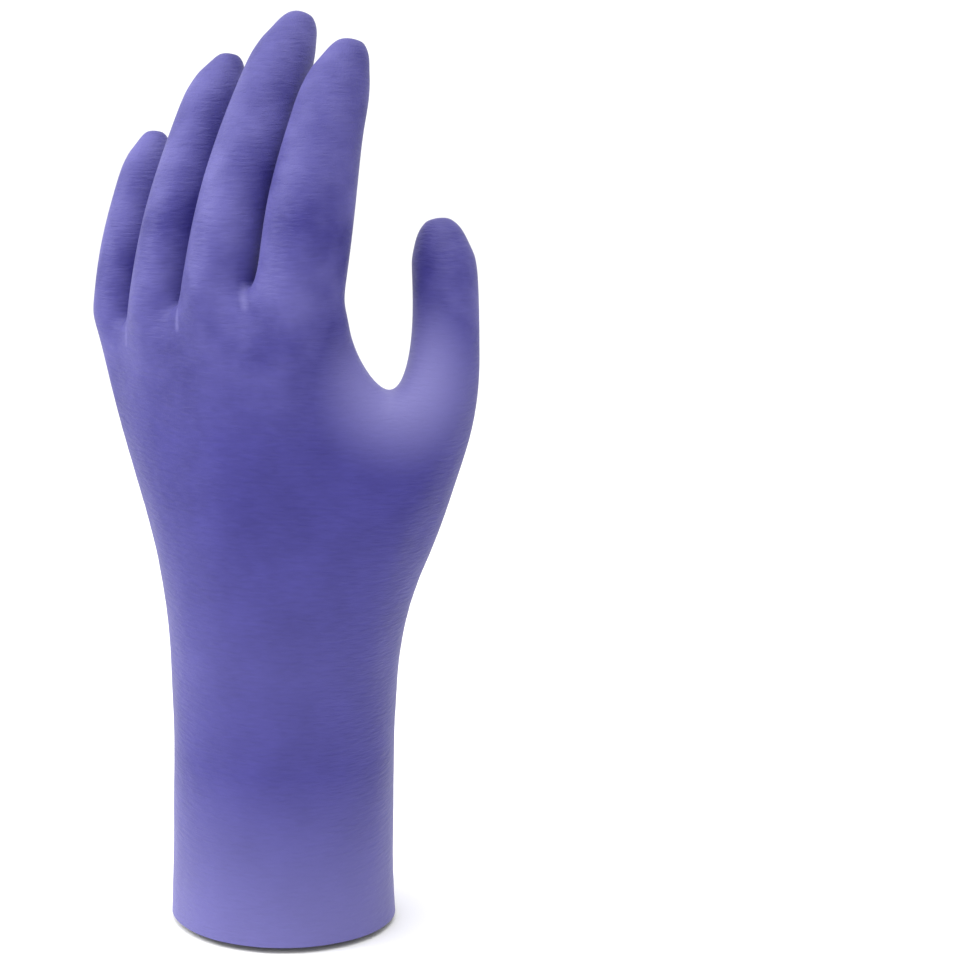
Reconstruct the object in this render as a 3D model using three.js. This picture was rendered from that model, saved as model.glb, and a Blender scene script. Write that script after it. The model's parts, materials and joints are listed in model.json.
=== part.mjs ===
// A long-cuff nitrile exam glove for a left hand, in the form that it has with a relaxed hand in it.
// It is one dipped film: a sleeve, a palm, four fingers and a thumb in one skin, open at the cuff.
// Millimetres. +Z runs from the cuff's edge to the fingertips, +X to the thumb and -Y out of the
// back of the hand. The origin is the middle of the cuff's mouth.
import * as THREE from "three";

// Sizes that can each be set by themselves
const WALL = 1; // the film, drawn thicker than the real 0.12 mm
const CUFF_WIDTH = 74.5; // across the forearm
const CUFF_DEPTH = 71; // from the back to the palm side
const SLEEVE_LENGTH = 130; // from the cuff's edge to the root of the thumb
const PALM_LENGTH = 80; // from the root of the thumb to the web under the index finger
const KNUCKLE_BACKSET = 22; // how far the row of knuckles lies behind the forearm's middle
const KNUCKLE_ASIDE = 11; // and how far the top of the row lies to the thumb's side
const KNUCKLE_RADIUS = 140; // the row is bent round this to cup the hand
const FINGER_LENGTH = 99; // the middle finger, straight from its web to its tip
const FINGER_WIDTH = 25.5; // the middle finger
const FINGER_DEPTH = 26;
const FINGER_GAP = 3; // between two fingers at their web
const THUMB_LENGTH = 82; // straight from the start of its middle line to its tip
const THUMB_WIDTH = 23;
const THUMB_DEPTH = 22;
const THUMB_ASIDE = 22; // where the thumb's middle line starts, to the side of the forearm's middle
const THUMB_BACKSET = 8; // and behind it
const THUMB_RISE = 35; // and above the end of the sleeve
const THUMB_TURN = 34; // degrees that the thumb is turned in towards the palm
const THENAR = 27; // how far the root of the thumb swells out of the palm
const CUFF_FLARE = 0.03; // how much wider the cuff's edge is, as a share

// The fingers from the little one to the index. Widths, depths and lengths are shares of the middle
// finger's, and web is how far the web on the thumb's side lies below the index finger's, as a
// share of FINGER_LENGTH. Angles are in degrees: lean to the thumb, tilt forward, and curl.
const FINGERS = [
  { name: "little", wide: 0.8, deep: 0.8, long: 0.645, web: 0.095, lean: -0.2, tilt: 20.5, curl: 12.5 },
  { name: "ring", wide: 0.9, deep: 0.9, long: 0.9, web: 0.03, lean: 4.6, tilt: 22, curl: 14 },
  { name: "middle", wide: 1, deep: 1, long: 0.985, web: -0.05, lean: 5.3, tilt: 24, curl: 15 },
  { name: "index", wide: 1.13, deep: 1, long: 0.865, web: 0.01, lean: 1.2, tilt: 21, curl: 14 },
];
const LITTLE_OUTER_WEB = 0.1; // the outer side of the little finger, as web above

// Cross-sections from the cuff's edge up. reach is 0 at the edge, 1 at the thumb's root and 2 at the
// webs. spread and flatten lead from the cuff's section (0) to the row of knuckles (1), across the
// hand and through it. valley is the share of the furrows between the fingers.
const SECTIONS = [
  { reach: 0, spread: 0, flatten: 0, valley: 0 },
  { reach: 0.12, spread: 0, flatten: 0, valley: 0 },
  { reach: 0.38, spread: 0, flatten: 0.01, valley: 0 },
  { reach: 0.6, spread: 0.02, flatten: 0.04, valley: 0 },
  { reach: 0.77, spread: 0.08, flatten: 0.11, valley: 0 },
  { reach: 0.92, spread: 0.19, flatten: 0.21, valley: 0 },
  { reach: 1.06, spread: 0.33, flatten: 0.33, valley: 0 },
  { reach: 1.25, spread: 0.5, flatten: 0.5, valley: 0 },
  { reach: 1.46, spread: 0.67, flatten: 0.68, valley: 0 },
  { reach: 1.63, spread: 0.79, flatten: 0.83, valley: 0 },
  { reach: 1.82, spread: 0.9, flatten: 0.93, valley: 0.2 },
  { reach: 1.93, spread: 0.97, flatten: 0.98, valley: 0.6 },
];

// How far the thumb's root swells out of those sections, on the palm and on the back of the hand, to
// the side and to the front, as shares of THENAR. broad is how many columns of points take part.
// The rows are for the last sections, up to the knuckles.
const PALM_SWELLING = [
  { out: 0.04, front: 0.04, broad: 11 },
  { out: 0.14, front: 0.18, broad: 11 },
  { out: 0.35, front: 0.38, broad: 11 },
  { out: 0.61, front: 0.55, broad: 10.5 },
  { out: 0.6, front: 0.86, broad: 8.8 },
  { out: 0.27, front: 0.92, broad: 6 },
  { out: 0.12, front: 0.6, broad: 3.6 },
  { out: 0.03, front: 0.16, broad: 2.7 },
  { out: 0.06, front: 0.06, broad: 2.7 },
];
const BACK_SWELLING = [
  { out: 0.04, front: 0.02, broad: 6.8 },
  { out: 0.14, front: 0.1, broad: 6.8 },
  { out: 0.34, front: 0.2, broad: 6.8 },
  { out: 0.62, front: 0.3, broad: 6.8 },
  { out: 0.78, front: 0.36, broad: 5.4 },
  { out: 0.6, front: 0.42, broad: 4.3 },
  { out: 0.28, front: 0.5, broad: 3.2 },
  { out: 0.08, front: 0.1, broad: 2.7 },
  { out: 0.06, front: 0.04, broad: 2 },
];
const THUMB_FIRST = 6; // the lowest section that the thumb's root opens in
const THUMB_LAST = 9; // and the highest, which is the web beside the index finger

// A finger's shaft, from its web to the start of its domed tip.
const SHAFT = [
  { along: 0.14, wide: 1.01, deep: 1.0 },
  { along: 0.54, wide: 1.01, deep: 0.97 },
  { along: 1, wide: 0.86, deep: 0.85 },
];
const THUMB_SHAFT = [
  { along: 0.47, wide: 1.24, deep: 1.14 },
  { along: 0.7, wide: 1.0, deep: 1.06 },
  { along: 1, wide: 0.95, deep: 0.97 },
];
const DOME = [21, 40, 56, 68]; // degrees up a domed tip
const TIP = { long: 1.2, taper: 1.1 }; // a share of the width, and how pointed: 1 is an even dome
const THUMB_TIP = { long: 0.92, taper: 1.05 };
const PAD = 0.1; // how far a tip drops to the side of the pad, as a share of the finger's half depth

// The thumb's middle line, in shares of THUMB_LENGTH from where it starts inside the palm.
const THUMB_LINE = [
  { out: 0, front: 0, up: 0 },
  { out: 0.32, front: 0.205, up: 0.055 },
  { out: 0.375, front: 0.235, up: 0.256 },
  { out: 0.361, front: 0.274, up: 0.427 },
  { out: 0.328, front: 0.329, up: 0.61 },
  { out: 0.25, front: 0.4, up: 0.85 },
];

// A section has COLUMNS points on the back and as many on the palm side, three steps to a finger,
// and one more point on either edge of the hand. A finger's ring has ten points.
const STEPS = 3;
const COLUMNS = FINGERS.length * STEPS + 1;
const SECTION_POINTS = 2 * (COLUMNS + 1);
const FINGER_POINTS = 2 * (STEPS + 2);
const THUMB_EDGE = 0;
const LITTLE_EDGE = COLUMNS + 1;
const palmColumn = (column) => COLUMNS - column;
const backColumn = (column) => COLUMNS + 2 + column;

const radians = THREE.MathUtils.degToRad;
const mix = THREE.MathUtils.lerp;
const point = (x, y, z) => new THREE.Vector3(x, y, z);

const WEB_HEIGHT = SLEEVE_LENGTH + PALM_LENGTH;

// How far round the row of knuckles each finger's middle lies, in radians from the row's top. The
// fingers stand side by side along the row with a gap between.
function knuckleAngles() {
  const wide = FINGERS.map((finger) => finger.wide * FINGER_WIDTH);
  const places = [0];
  for (let i = 1; i < wide.length; i++) {
    places.push(places[i - 1] + (wide[i - 1] + wide[i]) / 2 + FINGER_GAP);
  }
  const top = mix(places[2], places[3], 0.75);
  return places.map((place) => (place - top) / KNUCKLE_RADIUS);
}

// The point of the row of knuckles at an angle, moved out of the back of the hand or into it.
function knucklePoint(angle, inward, height) {
  const radius = KNUCKLE_RADIUS - inward;
  const x = KNUCKLE_ASIDE + radius * Math.sin(angle);
  return point(x, KNUCKLE_RADIUS - KNUCKLE_BACKSET - radius * Math.cos(angle), height);
}

// Each finger's root: its middle, half sizes, turn along the row, and the heights of its two webs.
const ROOTS = knuckleAngles().map((angle, i) => {
  const { wide, deep, web } = FINGERS[i];
  const drops = [i ? FINGERS[i - 1].web : LITTLE_OUTER_WEB, web];
  const webs = drops.map((drop) => WEB_HEIGHT - drop * FINGER_LENGTH);
  return {
    middle: knucklePoint(angle, 0, (webs[0] + webs[1]) / 2),
    half: { wide: (wide * FINGER_WIDTH) / 2, deep: (deep * FINGER_DEPTH) / 2 },
    turn: angle,
    webs,
  };
});

// A ring of points round a middle, square to a direction. It starts on the thumb's side and goes
// round by the palm side.
function ring(middle, direction, turn, halfWide, halfDeep) {
  const side = point(Math.cos(turn), Math.sin(turn), 0);
  side.addScaledVector(direction, -side.dot(direction)).normalize();
  const front = direction.clone().cross(side);
  return Array.from({ length: FINGER_POINTS }, (_, k) => {
    const angle = (2 * Math.PI * k) / FINGER_POINTS;
    return middle
      .clone()
      .addScaledVector(side, halfWide * Math.cos(angle))
      .addScaledVector(front, halfDeep * Math.sin(angle));
  });
}

// The cuff's section, with the points at even angles from the thumb's edge.
function cuffSection() {
  return Array.from({ length: SECTION_POINTS }, (_, k) => {
    const angle = (2 * Math.PI * k) / SECTION_POINTS;
    return point((CUFF_WIDTH / 2) * Math.cos(angle), (CUFF_DEPTH / 2) * Math.sin(angle), 0);
  });
}

const WEB_DEPTH = 0.6; // of the hand between two fingers, as a share of a finger's
const WEB_SLOPE = 0.16; // how far a web falls to the back of the hand, as a share of FINGER_DEPTH

// The section through the row of knuckles that the fingers stand on. furrow is how deep the hand
// is cut in between them, from 0 to 1.
function knuckleSection(furrow) {
  const section = new Array(SECTION_POINTS);
  ROOTS.forEach(({ middle, half, turn, webs }, i) => {
    const round = ring(middle, point(0, 0, 1), turn, half.wide, half.deep);
    const first = i * STEPS;
    for (let step = 0; step <= STEPS; step++) {
      const height = mix(webs[0], webs[1], step / STEPS);
      section[palmColumn(first + step)] = round[STEPS + 1 - step].setZ(height);
      section[backColumn(first + step)] = round[STEPS + 3 + step].setZ(height);
    }
    if (i === 0) section[LITTLE_EDGE] = round[STEPS + 2].setZ(webs[0]);
    if (i === ROOTS.length - 1) section[THUMB_EDGE] = round[0].setZ(webs[1]);
  });
  for (let i = 1; i < ROOTS.length; i++) {
    const [a, b] = [ROOTS[i - 1], ROOTS[i]];
    const full = (a.half.deep + b.half.deep) / 2;
    const deep = full * mix(0.95, WEB_DEPTH, furrow);
    const angle = (a.turn + a.half.wide / KNUCKLE_RADIUS + b.turn - b.half.wide / KNUCKLE_RADIUS) / 2;
    const fall = furrow * WEB_SLOPE * FINGER_DEPTH;
    section[palmColumn(i * STEPS)] = knucklePoint(angle, deep, a.webs[1]);
    section[backColumn(i * STEPS)] = knucklePoint(angle, -deep, a.webs[1] - fall);
  }
  return section;
}

const KNUCKLES = knuckleSection(1);

// The lowest point of each web, between the back and the palm side.
const WEBS = ROOTS.slice(1).map((_, i) => {
  const [palm, back] = [palmColumn, backColumn].map((column) => KNUCKLES[column((i + 1) * STEPS)]);
  return point((palm.x + back.x) / 2, (palm.y + back.y) / 2, palm.z);
});

// How far the thumb's root swells out at a point of a section, in X and Y.
function swelling(row, k) {
  if (row < 0) return [0, 0];
  const onPalm = k <= COLUMNS;
  const { out, front, broad } = (onPalm ? PALM_SWELLING : BACK_SWELLING)[row];
  const inward = (onPalm ? k : SECTION_POINTS - k) / broad;
  const share = inward < 1 ? (THENAR * (1 + Math.cos(Math.PI * inward))) / 2 : 0;
  return [out * share, front * share];
}

function handSection({ reach, spread, flatten, valley }, i) {
  const height = reach < 1 ? reach * SLEEVE_LENGTH : SLEEVE_LENGTH + (reach - 1) * PALM_LENGTH;
  const girth = 1 + CUFF_FLARE * Math.max(0, 1 - reach / 0.3) ** 2;
  const knuckles = knuckleSection(valley);
  return cuffSection().map((cuff, k) => {
    const [out, front] = swelling(i - SECTIONS.length + PALM_SWELLING.length, k);
    const x = mix(cuff.x * girth, knuckles[k].x, spread) + out;
    const y = mix(cuff.y * girth, knuckles[k].y, flatten) + front;
    const rise = (knuckles[k].z - WEB_HEIGHT) * Math.max(0, reach - 1) ** 2;
    return point(x, y, height + rise);
  });
}

// Rings along a curved finger, with a domed tip that is fuller on the side of the pad.
function fingerRings(line, half, turn, shaft, tipShape) {
  const length = line.getLength();
  const tip = 2 * half.wide * tipShape.long;
  const rows = shaft.map((row) => ({ ...row, along: row.along * (length - tip), drop: 0 }));
  const last = shaft[shaft.length - 1];
  for (const degrees of DOME) {
    const [up, out] = [Math.sin(radians(degrees)), Math.cos(radians(degrees)) ** tipShape.taper];
    const along = length - tip * (1 - up);
    rows.push({ along, wide: last.wide * out, deep: last.deep * out, drop: PAD * (1 - out) });
  }
  return rows.map(({ along, wide, deep, drop }) => {
    const direction = line.getTangentAt(along / length);
    const pad = point(0, direction.z, -direction.y).setLength(drop * half.deep);
    const middle = line.getPointAt(along / length).add(pad);
    return ring(middle, direction, turn, half.wide * wide, half.deep * deep);
  });
}

const BEND = 0.5; // where a finger bends most, as a share of its length

// A finger's middle line: a chord with a lean and a tilt, bent back by the curl.
function middleLine(root, length, { lean, tilt, curl }) {
  const [across, forward] = [Math.tan(radians(lean)), Math.tan(radians(tilt))];
  const chord = point(across, forward, 1).setLength(length);
  const back = point(0, -chord.z, chord.y).setLength((length / 2) * Math.tan(radians(curl)));
  const bend = root.clone().addScaledVector(chord, BEND).add(back);
  return new THREE.QuadraticBezierCurve3(root, bend, root.clone().add(chord));
}

// A cage of points and faces, which grows by rings.
class Cage {
  points = [];
  faces = [];

  add(points) {
    return points.map((p) => this.points.push(p) - 1);
  }

  // Quads between two rings that have as many points, apart from the steps that are left open.
  skirt(lower, upper, open = () => false) {
    lower.forEach((_, k) => {
      const next = (k + 1) % lower.length;
      if (!open(k)) this.faces.push([lower[k], lower[next], upper[next], upper[k]]);
    });
  }

  // Closes a finger's last ring with faces from its back to its palm side.
  cap(last) {
    const [side, ...rest] = last;
    const palm = rest.slice(0, STEPS + 1);
    const back = rest.slice(STEPS + 2).reverse();
    this.faces.push([back[0], side, palm[0]]);
    for (let k = 0; k < STEPS; k++) this.faces.push([back[k + 1], back[k], palm[k], palm[k + 1]]);
    this.faces.push([palm[STEPS], rest[STEPS + 1], back[STEPS]]);
  }

  finger(root, rings) {
    let below = root;
    for (const points of rings) {
      const above = this.add(points);
      this.skirt(below, above);
      below = above;
    }
    this.cap(below);
  }
}

function handCage() {
  const cage = new Cage();
  const isThumbStep = (k) => k === THUMB_EDGE || k === SECTION_POINTS - 1;
  const hiddenEdge = (i) => i > THUMB_FIRST && i < THUMB_LAST;
  const sections = SECTIONS.map((section, i) => {
    const points = handSection(section, i);
    return points.map((p, k) => (hiddenEdge(i) && k === THUMB_EDGE ? null : cage.add([p])[0]));
  });
  sections.push(cage.add(KNUCKLES));
  for (let i = 1; i < sections.length; i++) {
    const inRoot = i > THUMB_FIRST && i <= THUMB_LAST;
    cage.skirt(sections[i - 1], sections[i], (k) => inRoot && isThumbStep(k));
  }

  const knuckles = sections[sections.length - 1];
  const sides = [knuckles[LITTLE_EDGE], ...cage.add(WEBS), knuckles[THUMB_EDGE]];
  FINGERS.forEach((finger, i) => {
    const steps = Array.from({ length: STEPS + 1 }, (_, step) => i * STEPS + step);
    const palm = [...steps].reverse().map((column) => knuckles[palmColumn(column)]);
    const back = steps.map((column) => knuckles[backColumn(column)]);
    const line = middleLine(ROOTS[i].middle, finger.long * FINGER_LENGTH, finger);
    const rings = fingerRings(line, ROOTS[i].half, ROOTS[i].turn, SHAFT, TIP);
    cage.finger([sides[i + 1], ...palm, sides[i], ...back], rings);
  });

  const open = sections.slice(THUMB_FIRST, THUMB_LAST + 1);
  const palmSide = open.map((section) => section[palmColumn(COLUMNS - 1)]);
  const backSide = open.map((section) => section[backColumn(COLUMNS - 1)]);
  const [low, high] = [open[0][THUMB_EDGE], open[open.length - 1][THUMB_EDGE]];
  const root = [low, ...palmSide, high, ...backSide.reverse()];
  const start = point(THUMB_ASIDE, -THUMB_BACKSET, SLEEVE_LENGTH + THUMB_RISE);
  const line = new THREE.CatmullRomCurve3(
    THUMB_LINE.map(({ out, front, up }) => point(out, front, up).multiplyScalar(THUMB_LENGTH).add(start)),
  );
  const half = { wide: THUMB_WIDTH / 2, deep: THUMB_DEPTH / 2 };
  cage.finger(root, fingerRings(line, half, radians(THUMB_TURN), THUMB_SHAFT, THUMB_TIP));
  return cage;
}

// One step of Catmull-Clark subdivision. The first points are the old ones, moved.
function subdivided({ points, faces }) {
  const mean = (list) => list.reduce((sum, p) => sum.add(p), point(0, 0, 0)).divideScalar(list.length);
  const centres = faces.map((face) => mean(face.map((k) => points[k])));
  const edges = new Map();
  const edgeKey = (a, b) => (a < b ? `${a} ${b}` : `${b} ${a}`);
  faces.forEach((face, f) =>
    face.forEach((a, k) => {
      const b = face[(k + 1) % face.length];
      const key = edgeKey(a, b);
      if (!edges.has(key)) edges.set(key, { ends: [a, b], faces: [] });
      edges.get(key).faces.push(f);
    }),
  );

  const around = points.map(() => ({ centres: [], middles: [], rim: [] }));
  faces.forEach((face, f) => face.forEach((k) => around[k].centres.push(centres[f])));
  for (const edge of edges.values()) {
    const [a, b] = edge.ends;
    const middle = mean([points[a], points[b]]);
    edge.point = edge.faces.length === 2 ? mean([middle, mean(edge.faces.map((f) => centres[f]))]) : middle;
    for (const k of edge.ends) {
      around[k].middles.push(middle);
      if (edge.faces.length === 1) around[k].rim.push(middle);
    }
  }
  const moved = points.map((p, k) => {
    const { centres: near, middles, rim } = around[k];
    if (rim.length) return mean([p, mean(rim)]);
    const n = near.length;
    return mean(near)
      .addScaledVector(mean(middles), 2)
      .addScaledVector(p, n - 3)
      .divideScalar(n);
  });

  const made = [...moved, ...centres];
  for (const edge of edges.values()) edge.index = made.push(edge.point) - 1;
  const quads = faces.flatMap((face, f) =>
    face.map((k, i) => {
      const next = face[(i + 1) % face.length];
      const before = face[(i + face.length - 1) % face.length];
      const [ahead, behind] = [edges.get(edgeKey(k, next)).index, edges.get(edgeKey(before, k)).index];
      return [k, ahead, points.length + f, behind];
    }),
  );
  return { points: made, faces: quads };
}

// The cage, pushed out until the subdivided skin passes through the points that it was given.
function heldCage(cage, rounds = 3) {
  let points = cage.points;
  for (let i = 0; i < rounds; i++) {
    const moved = subdivided({ points, faces: cage.faces }).points;
    points = points.map((p, k) => p.clone().add(cage.points[k]).sub(moved[k]));
  }
  return { points, faces: cage.faces };
}

// Gives the skin its wall: the same faces again, moved in and turned round, and a flat rim.
function walled({ points, faces }) {
  const normals = points.map(() => point(0, 0, 0));
  for (const face of faces) {
    const [a, b, c, d] = face.map((k) => points[k]);
    const normal = c.clone().sub(a).cross(d.clone().sub(b));
    for (const k of face) normals[k].add(normal);
  }
  const steps = new Set(faces.flatMap((face) => face.map((a, k) => `${a} ${face[(k + 1) % 4]}`)));
  const rim = [...steps].map((step) => step.split(" ").map(Number));
  const openSteps = rim.filter(([a, b]) => !steps.has(`${b} ${a}`));
  for (const [a] of openSteps) normals[a].setZ(0);
  const inner = points.map((p, k) => p.clone().addScaledVector(normals[k].normalize(), -WALL));
  const count = points.length;
  const lining = faces.map((face) => face.map((k) => k + count).reverse());
  const edge = openSteps.map(([a, b]) => [b, a, a + count, b + count]);
  return { points: [...points, ...inner], faces: [...faces, ...lining, ...edge] };
}

function geometryOf({ points, faces }) {
  const triangles = faces.flatMap(([a, b, c, d]) => {
    const short = points[a].distanceTo(points[c]) <= points[b].distanceTo(points[d]);
    return short ? [a, b, c, a, c, d] : [a, b, d, b, c, d];
  });
  const geometry = new THREE.BufferGeometry().setFromPoints(points);
  geometry.setIndex(triangles);
  geometry.computeVertexNormals();
  return geometry;
}

function glove() {
  const skin = subdivided(heldCage(handCage()));
  const nitrile = new THREE.MeshStandardMaterial({ color: "#635ead", roughness: 0.55, metalness: 0 });
  const mesh = new THREE.Mesh(geometryOf(walled(skin)), nitrile);
  mesh.name = "glove";
  return mesh;
}

const group = new THREE.Group();
group.add(glove());
export default group;
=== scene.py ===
# A long-cuff nitrile exam glove for a left hand, laid out as a Blender add-on.
# Metres, in the frame of the CAD model: +Z to the fingertips, +X to the thumb, -Y out of the back.
import json
import math

import bmesh
import bpy
from bpy.props import FloatProperty, FloatVectorProperty, IntProperty, PointerProperty
from bpy.types import Operator, Panel, PropertyGroup
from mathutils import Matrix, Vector

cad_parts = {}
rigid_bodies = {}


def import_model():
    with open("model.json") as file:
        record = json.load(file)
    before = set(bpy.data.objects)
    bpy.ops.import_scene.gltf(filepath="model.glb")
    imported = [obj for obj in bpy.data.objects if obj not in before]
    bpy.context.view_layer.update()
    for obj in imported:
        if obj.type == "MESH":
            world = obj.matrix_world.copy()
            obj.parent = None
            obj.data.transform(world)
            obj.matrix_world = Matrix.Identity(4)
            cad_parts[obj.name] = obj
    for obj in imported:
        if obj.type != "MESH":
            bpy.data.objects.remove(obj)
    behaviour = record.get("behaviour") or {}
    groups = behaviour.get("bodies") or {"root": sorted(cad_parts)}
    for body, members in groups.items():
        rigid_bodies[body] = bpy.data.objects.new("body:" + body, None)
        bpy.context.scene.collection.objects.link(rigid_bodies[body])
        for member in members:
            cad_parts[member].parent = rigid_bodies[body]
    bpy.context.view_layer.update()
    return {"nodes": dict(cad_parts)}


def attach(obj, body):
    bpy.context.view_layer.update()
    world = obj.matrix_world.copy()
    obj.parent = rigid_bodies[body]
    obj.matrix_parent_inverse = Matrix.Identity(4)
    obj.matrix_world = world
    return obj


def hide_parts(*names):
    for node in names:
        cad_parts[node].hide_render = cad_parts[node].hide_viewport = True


bl_info = {
    "name": "Nitrile exam glove",
    "version": (1, 0, 0),
    "blender": (4, 5, 0),
    "location": "View3D > Sidebar > Glove",
    "description": "A dipped nitrile glove with a long cuff, held in the form of a relaxed hand",
    "category": "Object",
}

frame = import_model()
MM = 0.001


def linear(code):
    """An sRGB hex colour as the linear values that a shader takes."""
    values = [int(code[i : i + 2], 16) / 255 for i in (1, 3, 5)]
    turned = [v / 12.92 if v <= 0.04045 else ((v + 0.055) / 1.055) ** 2.4 for v in values]
    return (*turned, 1.0)


# Sizes and colours that a user would change


def length(name, description, default):
    return FloatProperty(name=name, description=description, default=default, unit="LENGTH", precision=5)


def colour(name, description, code):
    return FloatVectorProperty(
        name=name, description=description, default=linear(code), size=4, subtype="COLOR", min=0, max=1
    )


def angle(name, description, degrees):
    return FloatProperty(
        name=name, description=description, default=math.radians(degrees), subtype="ANGLE"
    )


def power(name, description, watts):
    return FloatProperty(name=name, description=description, default=watts, unit="POWER")


class GloveSizes(PropertyGroup):
    film: length("Film", "Thickness of the dipped film", 0.4 * MM)
    smoothing: IntProperty(
        name="Smoothing", description="Subdivision levels of the skin", default=2, min=1, max=3
    )
    sag: length("Sag", "Height of the soft unevenness of the filled skin", 1.1 * MM)
    sag_spacing: length("Sag spacing", "Distance between the soft dents", 22 * MM)
    crinkle: length("Crinkle", "Height of the fine cross creases", 0.14 * MM)
    crinkle_length: length("Crinkle length", "Length of a cross crease", 9 * MM)
    crinkle_spacing: length("Crinkle spacing", "Distance from one cross crease to the next", 3.2 * MM)


class GloveColours(PropertyGroup):
    nitrile: colour("Nitrile", "The pigmented rubber", "#3b3685")
    # The thicker colour also stands for painted shade in the fine creases
    nitrile_deep_and_crease_shade: colour("Nitrile, thicker", "Where the film is thicker, and painted shade in fine creases", "#2e2973")
    # The pale colour also stands for painted highlights and painted light: over the thumb's web, along
    # the crotch creases, round the cuff and over the fingers
    nitrile_pale_and_painted_light: colour("Nitrile, pale and painted light", "Where the film is thin, and painted highlights and light", "#807cb8")
    floor: colour("Floor", "The studio floor", "#ffffff")


class GloveStage(PropertyGroup):
    azimuth: angle("Azimuth", "Camera round to the thumb's side", 30)
    elevation: angle("Elevation", "Camera above the horizon", 10)
    distance: length("Distance", "Camera to the middle of the glove", 0.8)
    top: power("Top light", "Power of the large light overhead", 6)
    key: power("Key light", "Power of the light at the upper left", 6)
    surround: FloatProperty(name="Surround", description="Strength of the white world", default=1.15)
    surround_right: FloatProperty(name="Surround, right", description="Its strength there", default=0.5)


# Small helpers


def only(piece):
    """Selects this object and nothing else, and makes it active."""
    if bpy.context.object and bpy.context.object.mode != "OBJECT":
        bpy.ops.object.mode_set(mode="OBJECT")
    bpy.ops.object.select_all(action="DESELECT")
    piece.select_set(True)
    bpy.context.view_layer.objects.active = piece


def applied(piece, kind, **settings):
    """Adds a modifier with these settings and applies it."""
    only(piece)
    modifier = piece.modifiers.new(kind.title(), kind)
    for name, value in settings.items():
        setattr(modifier, name, value)
    bpy.ops.object.modifier_apply(modifier=modifier.name)


def node(tree, kind, inputs=None, **settings):
    """Adds a shader node. An input is a value, or the output socket that feeds it."""
    made = tree.nodes.new("ShaderNode" + kind)
    for name, value in settings.items():
        setattr(made, name, value)
    for name, value in (inputs or {}).items():
        if isinstance(value, bpy.types.NodeSocket):
            tree.links.new(value, made.inputs[name])
        else:
            made.inputs[name].default_value = value
    return made


def blend(tree, factor, first, second):
    """Mixes two colours and gives the colour socket."""
    mixed = node(tree, "Mix", data_type="RGBA")
    for name, value in {"Factor": factor, "A": first, "B": second}.items():
        socket = next(s for s in mixed.inputs if s.name == name and s.enabled)
        if isinstance(value, bpy.types.NodeSocket):
            tree.links.new(value, socket)
        else:
            socket.default_value = value
    return next(s for s in mixed.outputs if s.enabled)


def calculated(tree, operation, *values):
    """The result of one sum on numbers or sockets."""
    return node(tree, "Math", dict(enumerate(values)), operation=operation).outputs[0]


def ramp(tree, value, start, end, low=0.0, high=1.0, interpolation="LINEAR"):
    """Turns a value between start and end into a share between low and high, held beyond both ends."""
    ends = {"Value": value, "From Min": start, "From Max": end, "To Min": low, "To Max": high}
    return node(tree, "MapRange", ends, interpolation_type=interpolation).outputs[0]


def near_line(tree, place, start, end, width):
    """A share that is greatest on the line from start to end and falls to 0 at half its width."""
    way = end - start
    offset = node(tree, "VectorMath", {0: place, 1: start}, operation="SUBTRACT").outputs["Vector"]
    along = node(tree, "VectorMath", {0: offset, 1: way / way.length_squared}, operation="DOT_PRODUCT")
    held = node(tree, "Clamp", {"Value": along.outputs["Value"]}).outputs[0]
    nearest = node(tree, "VectorMath", {0: way, "Scale": held}, operation="SCALE").outputs["Vector"]
    gap = node(tree, "VectorMath", {0: offset, 1: nearest}, operation="DISTANCE").outputs["Value"]
    # Its greatest share is the strength of the painted highlight along a crease
    return ramp(tree, gap, width / 2, 0, high=CREASE_HIGHLIGHT)


def smooth_step(low, high, value):
    """0 up to low and 1 from high on, with a soft rise between. low may be the greater one."""
    share = min(1, max(0, (value - low) / (high - low)))
    return share * share * (3 - 2 * share)


# The glove

FACES_DOWN = -0.9  # the rim's normal points further down than this
RIM_HEIGHT = 0.1 * MM  # and the rim lies below this

THUMB_WEB = Vector((0.041, 0.0, 0.184))  # the saddle of film between the thumb and the index finger
WEB_CORE = 14 * MM  # the skin is fully softened this near to the saddle
WEB_REACH = 42 * MM  # and not at all from here on

# The ball of film over the end of each finger: its top, its middle and its radius
FINGERTIPS = {
    "little": (Vector((-0.0607, 0.0169, 0.2599)), Vector((-0.0607, 0.0177, 0.2538)), 6.3 * MM),
    "ring": (Vector((-0.0312, 0.0168, 0.286)), Vector((-0.0308, 0.0177, 0.2793)), 6.9 * MM),
    "middle": (Vector((-0.0042, 0.0138, 0.2999)), Vector((-0.0037, 0.0147, 0.2922)), 7.9 * MM),
    "index": (Vector((0.0203, 0.0051, 0.2914)), Vector((0.0205, 0.006, 0.2833)), 8.4 * MM),
    "thumb": (Vector((0.0458, 0.0231, 0.2346)), Vector((0.0452, 0.0232, 0.2262)), 8.6 * MM),
}
TIP_CORE = 0.2  # the share of the radius round the top where a tip is fully rounded
TIP_REACH = 1.9  # and the share from which it isn't

# The fingers and the hand fill the film tightly and the sleeve hangs loosely
TIGHT_FROM = 210 * MM
LOOSE_BELOW = 120 * MM
TIGHT_SHARE = 0.25  # of the loose film's unevenness
SAG_SEED = 0.31
CRINKLE_SEED = 0.13
SHARP_EDGE = math.radians(50)  # an edge that turns by more, as at the cuff, isn't shaded smooth

# Painted highlights along the short creases that run down the back of the hand from the crotch on the
# thumb's side of each
# finger: both ends and the width
CROTCH_CREASE_HIGHLIGHTS = {
    "middle": (Vector((0.0012, -0.0268, 0.214)), Vector((0.004, -0.0314, 0.208)), 6 * MM),
    "ring": (Vector((-0.0234, -0.0276, 0.205)), Vector((-0.0228, -0.0286, 0.1995)), 3.6 * MM),
    "little": (Vector((-0.0486, -0.0187, 0.197)), Vector((-0.0484, -0.0191, 0.1915)), 3.2 * MM),
}
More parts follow.
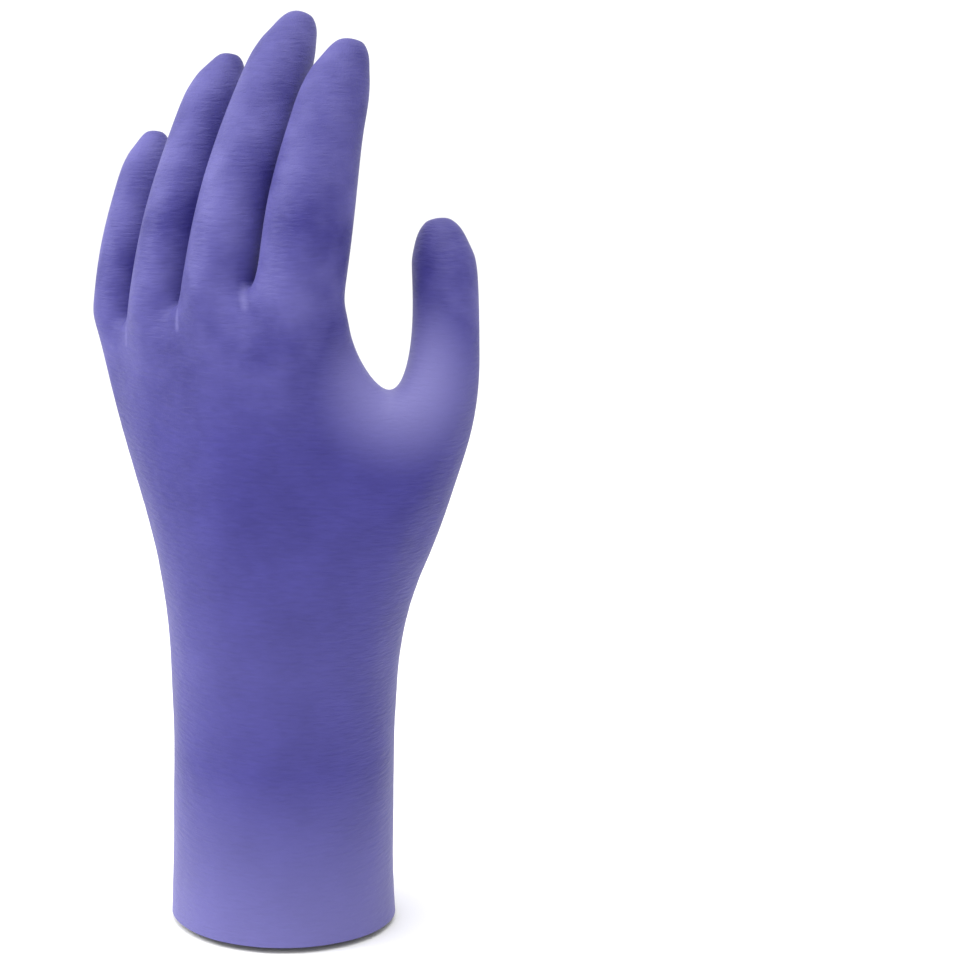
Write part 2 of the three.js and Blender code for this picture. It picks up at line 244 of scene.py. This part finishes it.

# How far the film is drawn to its pale colour, from 0 to 1, and up to which places. Much of the pale
# colour is painted light
# The strength of the painted highlight along the crotch creases
CREASE_HIGHLIGHT = 0.4
# Over the fingers the film is paler in random blotches, which also stand for painted light from above
BLOTCH_PALENESS = 0.3
BLOTCHES_START = 165 * MM
BLOTCHES_FULL = 205 * MM
# Painted light round the cuff's edge, as bounced up from the white floor
CUFF_BOUNCE_LIGHT = 0.56
CUFF_BOUNCE_LIGHT_TO = 62 * MM
SLEEVE_PALENESS = 0.12
SLEEVE_MIDDLE = 90 * MM
SLEEVE_PALE_REACH = 55 * MM
# A painted highlight over the saddle of the thumb's web, where the light from above falls on it
WEB_HIGHLIGHT_CORE = 2 * MM
WEB_HIGHLIGHT_REACH = 36 * MM

# The film's fine patterns
DRIFT_SPAN = 20 * MM  # over which its thickness drifts
DRIFT_THIN = 0.3  # the drift pattern's value where the film is thin
DRIFT_THICK = 0.7
DRIFT_WEIGHT = 1.5  # against the creases' weight of 1
# Deepening the colour along the creases is painted shade
DEEP_FROM = 0.8  # the weighted sum of both patterns from which the colour deepens
DEEPEST = 1.7
CREASE_LENGTH = 5 * MM
CREASE_SPACING = 1 * MM
CREASE_DEPTH = 0.4 * MM
GRAIN_SPAN = MM / 2.4
GRAIN_DEPTH = 0.25 * MM
LIGHT_GRAIN = 0.25  # the share of the grain's strength on the sleeve and the hand
GRIP_START = 220 * MM  # it grows from here
GRIP_FULL = 270 * MM  # to the full grain of the fingertips


def outer_skin(node_name):
    """A copy of the CAD solid without the cuff's flat rim and the inner skin, in quads."""
    skin = bpy.data.objects.new("nitrile_glove", frame["nodes"][node_name].data.copy())
    bpy.context.scene.collection.objects.link(skin)
    only(skin)
    bpy.ops.object.mode_set(mode="EDIT")
    bpy.ops.mesh.select_mode(type="VERT")
    bpy.ops.mesh.select_all(action="SELECT")
    bpy.ops.mesh.remove_doubles(threshold=0.01 * MM)
    bpy.ops.mesh.select_mode(type="FACE")
    bpy.ops.mesh.select_all(action="DESELECT")
    mesh = bmesh.from_edit_mesh(skin.data)
    for face in mesh.faces:
        if face.normal.z < FACES_DOWN and face.calc_center_median().z < RIM_HEIGHT:
            face.select_set(True)
    bmesh.update_edit_mesh(skin.data)
    bpy.ops.mesh.delete(type="FACE")
    bpy.ops.mesh.select_mode(type="VERT")
    mesh = bmesh.from_edit_mesh(skin.data)
    max(mesh.verts, key=lambda vertex: vertex.co.z).select_set(True)
    bmesh.update_edit_mesh(skin.data)
    bpy.ops.mesh.select_linked()
    bpy.ops.mesh.select_all(action="INVERT")
    bpy.ops.mesh.delete(type="VERT")
    bpy.ops.mesh.select_all(action="SELECT")
    bpy.ops.mesh.tris_convert_to_quads(
        face_threshold=math.radians(60), shape_threshold=math.radians(75)
    )
    bpy.ops.object.mode_set(mode="OBJECT")
    return skin


def weigh(piece, name, weight_at):
    """A vertex group whose weights come from a function of the place."""
    group = piece.vertex_groups.new(name=name)
    for vertex in piece.data.vertices:
        group.add([vertex.index], weight_at(vertex.co), "REPLACE")
    return group.name


def rounded(piece, top, middle, radius):
    """Draws the skin round the top of a fingertip on to a ball."""
    core, reach = TIP_CORE * radius, TIP_REACH * radius
    tip = weigh(piece, "tip", lambda at: smooth_step(reach, core, (at - top).length))
    bpy.ops.object.empty_add(location=middle)
    ball = bpy.context.object
    bpy.context.view_layer.update()
    applied(
        piece,
        "CAST",
        cast_type="SPHERE",
        factor=0.5,
        use_radius_as_size=False,
        size=radius,
        object=ball,
        vertex_group=tip,
    )
    applied(piece, "SMOOTH", factor=0.5, iterations=24, vertex_group=tip)
    bpy.data.objects.remove(ball)
    piece.vertex_groups.clear()


def relief(piece, height, across, along, group, seed):
    """Pushes the skin in and out by a cloud pattern with these sizes across the glove and along it."""
    bpy.ops.object.empty_add(location=(seed, 2 * seed, 3 * seed))
    ruler = bpy.context.object
    ruler.scale = (across, across, along)
    bpy.context.view_layer.update()
    clouds = bpy.data.textures.new("clouds", "CLOUDS")
    clouds.noise_scale = 1
    clouds.noise_depth = 1
    applied(
        piece,
        "DISPLACE",
        texture=clouds,
        texture_coords="OBJECT",
        texture_coords_object=ruler,
        direction="NORMAL",
        mid_level=0.5,
        strength=height,
        vertex_group=group,
    )
    bpy.data.objects.remove(ruler)
    bpy.data.textures.remove(clouds)


class GLOVE_OT_skin(Operator):
    """Makes the glove's skin from the CAD solid: smooth, softly uneven and finely creased"""

    bl_idname = "glove.skin"
    bl_label = "Glove skin"

    def execute(self, context):
        sizes = context.scene.glove_sizes
        skin = outer_skin("glove")
        webbing = weigh(
            skin, "webbing", lambda at: smooth_step(WEB_REACH, WEB_CORE, (at - THUMB_WEB).length)
        )
        applied(skin, "SMOOTH", factor=0.7, iterations=10, vertex_group=webbing)
        applied(skin, "SUBSURF", levels=sizes.smoothing, render_levels=sizes.smoothing)
        for top, middle, radius in FINGERTIPS.values():
            rounded(skin, top, middle, radius)
        loose = weigh(
            skin,
            "loose",
            lambda at: TIGHT_SHARE + (1 - TIGHT_SHARE) * smooth_step(TIGHT_FROM, LOOSE_BELOW, at.z),
        )
        relief(skin, sizes.sag, sizes.sag_spacing, 2 * sizes.sag_spacing, loose, SAG_SEED)
        relief(skin, sizes.crinkle, sizes.crinkle_length, sizes.crinkle_spacing, loose, CRINKLE_SEED)
        applied(skin, "SOLIDIFY", thickness=sizes.film, offset=-1, use_rim=True, use_even_offset=False)
        bpy.ops.object.shade_smooth_by_angle(angle=SHARP_EDGE)
        skin.data.materials.clear()
        skin.data.materials.append(nitrile_rubber(context.scene.glove_colours))
        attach(skin, "root")
        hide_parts("glove")
        return {"FINISHED"}


def nitrile_rubber(colours):
    """Nitrile rubber, dipped and chlorinated: a matte, pigmented film with a soft sheen at the edges, and
    painted highlights and painted shade in its colour.
    """
    material = bpy.data.materials.new("nitrile_rubber_dipped")
    material.use_nodes = True
    tree = material.node_tree
    tree.nodes.clear()
    place = node(tree, "TexCoord").outputs["Object"]

    # The film is deeper in colour where it is thicker, and darker in fine creases across the glove, which
    # is painted shade
    drift = node(tree, "TexNoise", {"Vector": place, "Scale": 1 / DRIFT_SPAN, "Detail": 3}).outputs["Fac"]
    counts = (1 / CREASE_LENGTH, 1 / CREASE_LENGTH, 1 / CREASE_SPACING)
    stretched = node(tree, "Mapping", {"Vector": place, "Scale": counts}).outputs["Vector"]
    creases = node(tree, "TexNoise", {"Vector": stretched, "Scale": 1, "Detail": 3}).outputs["Fac"]
    both = calculated(tree, "MULTIPLY_ADD", drift, DRIFT_WEIGHT, creases)
    film = blend(tree, ramp(tree, both, DEEP_FROM, DEEPEST), colours.nitrile, colours.nitrile_deep_and_crease_shade)

    # It is palest over the thumb's web and along the creases below the crotches, which are painted
    # highlights, and pale round the cuff's edge, which is painted light bounced up from the floor. It is
    # paler in random blotches over the knuckles and fingers, partly thinner film and partly painted light
    # from above. It is a little paler in a band round the middle of the sleeve too
    height = node(tree, "SeparateXYZ", {"Vector": place}).outputs["Z"]
    reach = node(tree, "VectorMath", {0: place, 1: THUMB_WEB}, operation="DISTANCE").outputs["Value"]
    off_sleeve = calculated(tree, "ABSOLUTE", calculated(tree, "SUBTRACT", height, SLEEVE_MIDDLE))
    # This paleness grows with height: painted light from above, in random blotches
    fingers_lit_from_above = ramp(tree, height, BLOTCHES_START, BLOTCHES_FULL)
    blotches = ramp(tree, drift, DRIFT_THICK, DRIFT_THIN, high=BLOTCH_PALENESS)
    painted_light_and_pale_marks = [
        ramp(tree, reach, WEB_HIGHLIGHT_REACH, WEB_HIGHLIGHT_CORE, interpolation="SMOOTHSTEP"),
        ramp(tree, height, CUFF_BOUNCE_LIGHT_TO, 0, high=CUFF_BOUNCE_LIGHT),
        calculated(tree, "MULTIPLY", fingers_lit_from_above, blotches),
        ramp(tree, off_sleeve, SLEEVE_PALE_REACH, 0, high=SLEEVE_PALENESS),
        *(near_line(tree, place, *crease) for crease in CROTCH_CREASE_HIGHLIGHTS.values()),
    ]
    pale_tone_and_painted_light = painted_light_and_pale_marks[0]
    for spot in painted_light_and_pale_marks[1:]:
        pale_tone_and_painted_light = calculated(tree, "MAXIMUM", pale_tone_and_painted_light, spot)
    tint = blend(tree, pale_tone_and_painted_light, film, colours.nitrile_pale_and_painted_light)

    # The creases again as relief, and a grain that is coarser on the fingertips
    grip = ramp(tree, height, GRIP_START, GRIP_FULL, low=LIGHT_GRAIN)
    grain = node(tree, "TexNoise", {"Vector": place, "Scale": 1 / GRAIN_SPAN, "Detail": 2}).outputs["Fac"]
    low = node(tree, "Bump", {"Height": creases, "Strength": 1, "Distance": CREASE_DEPTH})
    low_and_fine = node(
        tree,
        "Bump",
        {"Height": grain, "Strength": grip, "Distance": GRAIN_DEPTH, "Normal": low.outputs["Normal"]},
    )
    shader = node(
        tree,
        "BsdfPrincipled",
        {
            "Base Color": tint,
            "Roughness": 0.52,
            "IOR": 1.5,
            "Specular IOR Level": 0.28,
            "Sheen Weight": 0.08,
            "Sheen Roughness": 0.55,
            "Sheen Tint": linear("#e4e4fb"),
            "Normal": low_and_fine.outputs["Normal"],
        },
    )
    node(tree, "OutputMaterial", {"Surface": shader.outputs["BSDF"]})
    return material


# The stage

GLOVE_MIDDLE = Vector((0, 0, 0.15))
FLOOR_RADIUS = 6
FLOOR_DROP = 2 * MM  # from the cuff's edge, so that the two don't touch
LENS = 90.9  # mm
SENSOR_WIDTH = 36  # mm
PHOTO_WIDTH = 960  # pixels
PAST_GLOVE = (196, -6.5)  # pixels from the middle of the glove to the middle of the frame
WEAKER_FROM = 0.3  # how far to the right, of 1, the white world starts to weaken
WEAKEST_FROM = 0.9


def softbox(name, watts, place, wide, high):
    """A soft rectangular light that is aimed at the middle of the glove."""
    bpy.ops.object.light_add(type="AREA", location=place)
    lamp = bpy.context.object
    lamp.name = name
    lamp.data.shape = "RECTANGLE"
    lamp.data.size = wide
    lamp.data.size_y = high
    lamp.data.energy = watts
    lamp.rotation_euler = (GLOVE_MIDDLE - place).to_track_quat("-Z", "Y").to_euler()


def white_surroundings(side, strength, strength_aside):
    """A white world that is weaker far to one side, as beside a studio's open end."""
    world = bpy.data.worlds.new("white_surroundings")
    world.use_nodes = True
    tree = world.node_tree
    tree.nodes.clear()
    way = node(tree, "TexCoord").outputs["Generated"]
    aside = node(tree, "VectorMath", {0: way, 1: side}, operation="DOT_PRODUCT").outputs["Value"]
    light = ramp(tree, aside, WEAKER_FROM, WEAKEST_FROM, low=strength, high=strength_aside)
    background = node(tree, "Background", {"Color": (1, 1, 1, 1), "Strength": light})
    node(tree, "OutputWorld", {"Surface": background.outputs[0]})
    return world


class GLOVE_OT_stage(Operator):
    """Sets the white floor, the soft studio light and the camera"""

    bl_idname = "glove.stage"
    bl_label = "Studio stage"

    def execute(self, context):
        stage = context.scene.glove_stage
        bpy.ops.object.select_all(action="DESELECT")
        bpy.ops.mesh.primitive_circle_add(
            vertices=96, radius=FLOOR_RADIUS, fill_type="NGON", location=(0, 0, -FLOOR_DROP)
        )
        floor = bpy.context.object
        floor.name = "floor"
        bpy.ops.object.transform_apply(location=True, rotation=True, scale=True)
        paint = bpy.data.materials.new("floor_matte_paint")
        paint.use_nodes = True
        tree = paint.node_tree
        tree.nodes.clear()
        white = context.scene.glove_colours.floor
        looks = {"Base Color": white, "Roughness": 0.8, "Specular IOR Level": 0.2}
        shader = node(tree, "BsdfPrincipled", looks)
        node(tree, "OutputMaterial", {"Surface": shader.outputs["BSDF"]})
        floor.data.materials.append(paint)

        turn, rise = stage.azimuth, stage.elevation
        back = Vector((math.sin(turn) * math.cos(rise), -math.cos(turn) * math.cos(rise), math.sin(rise)))
        side = Vector((math.cos(turn), math.sin(turn), 0))
        up = back.cross(side)
        context.scene.world = white_surroundings(side, stage.surround, stage.surround_right)
        overhead = GLOVE_MIDDLE + up * 0.95 + back * 0.25
        upper_left = GLOVE_MIDDLE - side * 0.85 + back * 0.1 + up * 0.6
        softbox("top_softbox", stage.top, overhead, wide=1.1, high=0.8)
        softbox("key_softbox", stage.key, upper_left, wide=0.6, high=0.6)

        bpy.ops.object.camera_add(location=GLOVE_MIDDLE + back * stage.distance)
        camera = bpy.context.object
        camera.name = "camera"
        camera.data.lens = LENS
        camera.data.sensor_width = SENSOR_WIDTH
        camera.data.clip_start = 0.01
        # The glove stands in the left half of the frame, so the camera turns past it to the right
        straight = (-back).to_track_quat("-Z", "Y")
        focal = LENS / SENSOR_WIDTH * PHOTO_WIDTH
        aside = Vector((0, 0, -1)).rotation_difference(Vector((*PAST_GLOVE, -focal)))
        camera.rotation_euler = (straight @ aside).to_euler()
        context.scene.camera = camera
        context.scene.view_settings.view_transform = "Standard"
        return {"FINISHED"}


class GLOVE_PT_panel(Panel):
    """The glove's sizes and colours, and the steps that build it"""

    bl_idname = "GLOVE_PT_panel"
    bl_label = "Nitrile glove"
    bl_space_type = "VIEW_3D"
    bl_region_type = "UI"
    bl_category = "Glove"

    def draw(self, context):
        for group in (context.scene.glove_sizes, context.scene.glove_colours, context.scene.glove_stage):
            box = self.layout.box()
            for name in group.__annotations__:
                box.prop(group, name)
        for step in STEPS:
            self.layout.operator(step.bl_idname)


GROUPS = {"glove_sizes": GloveSizes, "glove_colours": GloveColours, "glove_stage": GloveStage}
STEPS = (GLOVE_OT_skin, GLOVE_OT_stage)


def register():
    for made in (*GROUPS.values(), *STEPS, GLOVE_PT_panel):
        bpy.utils.register_class(made)
    for name, group in GROUPS.items():
        setattr(bpy.types.Scene, name, PointerProperty(type=group))


def unregister():
    for name in GROUPS:
        delattr(bpy.types.Scene, name)
    for made in reversed((*GROUPS.values(), *STEPS, GLOVE_PT_panel)):
        bpy.utils.unregister_class(made)


def main():
    register()
    bpy.ops.glove.skin()
    bpy.ops.glove.stage()


if __name__ == "__main__":
    main()
